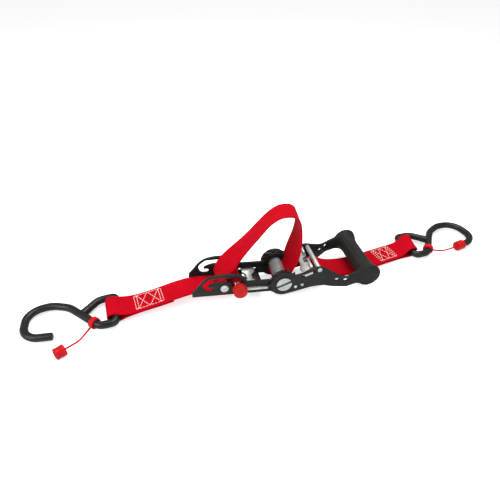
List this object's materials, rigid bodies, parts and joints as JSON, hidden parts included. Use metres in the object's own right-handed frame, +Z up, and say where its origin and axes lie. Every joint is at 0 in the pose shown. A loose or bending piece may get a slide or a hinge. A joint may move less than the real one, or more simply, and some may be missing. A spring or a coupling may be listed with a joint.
{
  "type": "ratchet tie down",
  "caption": "Webbing ratchet with a slotted spool, spring pawls, rubber-gripped handle, quick-slack bar with knobs, short straps and coated S hooks with tethered tip caps.",
  "frame": {"origin": "on the ground, under the middle of the box of the whole tie-down", "axes": "+X along the straps towards the grip and its hook, +Y across towards the rear frame plate, +Z up"},
  "size_m": [0.4978, 0.1136, 0.0912],
  "materials": {
    "black_coat": "satin black powder coat on stamped steel",
    "zinc_steel": "bright zinc-plated steel",
    "dark_steel": "blackened hardened steel",
    "spring_steel": "drawn spring wire",
    "red_webbing": "woven red polyester webbing with white sewn boxes",
    "red_knob": "moulded orange-red plastic",
    "red_vinyl": "soft red vinyl",
    "black_vinyl": "dipped black vinyl over steel wire",
    "grip_rubber": "matt black moulded rubber"
  },
  "bodies": {
    "frame": {"frame_plate_front": "black_coat", "frame_plate_rear": "black_coat", "frame_cross_web": "black_coat", "cross_bolt": "zinc_steel", "cross_bolt_nut": "zinc_steel", "cross_bolt_sleeve": "zinc_steel", "anchor_bolt": "zinc_steel", "anchor_bolt_nut": "zinc_steel", "lock_spring_seat": "black_coat", "lock_pawl_spring": "spring_steel", "strap_loop": "red_webbing", "left_strap": "red_webbing", "right_strap": "red_webbing"},
    "lock_pawl": {"lock_pawl": "zinc_steel"},
    "lock_bar": {"lock_bar": "zinc_steel", "knob_front": "red_knob", "knob_rear": "red_knob", "strap_on_bar": "red_webbing"},
    "spool": {"spool_half_upper": "zinc_steel", "spool_half_lower": "zinc_steel", "spool_retaining_ring": "spring_steel", "ratchet_wheel_front": "dark_steel", "ratchet_wheel_rear": "dark_steel", "strap_on_spool": "red_webbing"},
    "handle": {"handle_plate_front": "black_coat", "handle_plate_rear": "black_coat", "grip": "grip_rubber", "grip_rod": "zinc_steel", "handle_spacer": "zinc_steel", "drive_pawl_spring": "spring_steel"},
    "drive_pawl": {"drive_pawl": "zinc_steel"},
    "left_hook": {"left_hook": "black_vinyl"},
    "left_keeper": {"left_keeper_ring": "red_vinyl", "left_tether": "red_vinyl", "left_cap": "red_vinyl"},
    "right_hook": {"right_hook": "black_vinyl", "right_keeper_ring": "red_vinyl", "right_tether": "red_vinyl"},
    "right_cap": {"right_cap": "red_vinyl"}
  },
  "joints": [
    {"name": "lock_bar_swing", "type": "hinge", "parent": "frame", "child": "lock_bar", "pos_m": [-0.06144, -0.01, 0.0048], "axis": [0, -1, 0], "range_deg": [0, 88], "deforming": ["strap_loop"]},
    {"name": "handle_swing", "type": "hinge", "parent": "frame", "child": "handle", "pos_m": [0.003, -0.01, 0.0163], "axis": [0, -1, 0], "range_deg": [0, 140], "deforming": ["strap_loop"]},
    {"name": "spool_turn", "type": "hinge", "parent": "frame", "child": "spool", "pos_m": [0.003, -0.01, 0.0163], "axis": [0, 1, 0], "continuous": true, "deforming": ["strap_loop"]},
    {"name": "lock_pawl_slide", "type": "slide", "parent": "frame", "child": "lock_pawl", "axis": [-0.9957, 0, 0.0924], "range_m": [-0.0029, 0.002], "stiffness_N_per_m": 400, "deforming": ["lock_pawl_spring"]},
    {"name": "drive_pawl_slide", "type": "slide", "parent": "handle", "child": "drive_pawl", "axis": [0.9527, 0, 0.304], "range_m": [-0.0026, 0.003], "stiffness_N_per_m": 400, "deforming": ["drive_pawl_spring"]},
    {"name": "left_hook_swing", "type": "hinge", "parent": "frame", "child": "left_hook", "pos_m": [-0.162, -0.018, 0.00595], "axis": [0, 1, 0], "range_deg": [-1, 80]},
    {"name": "left_keeper_swivel", "type": "hinge", "parent": "left_hook", "child": "left_keeper", "pos_m": [-0.18174, -0.03235, 0.00574], "axis": [-0.6773, 0.7357, -0.0071], "range_deg": [0, 100]},
    {"name": "right_hook_swing", "type": "hinge", "parent": "frame", "child": "right_hook", "pos_m": [0.162, 0.012, 0.00595], "axis": [0.1736, -0.9848, 0], "range_deg": [-1, 80]},
    {"name": "right_cap_slide", "type": "slide", "parent": "right_hook", "child": "right_cap", "axis": [-0.9666, -0.2563, 0], "range_m": [0, 0.008], "deforming": ["right_tether"]}
  ]
}
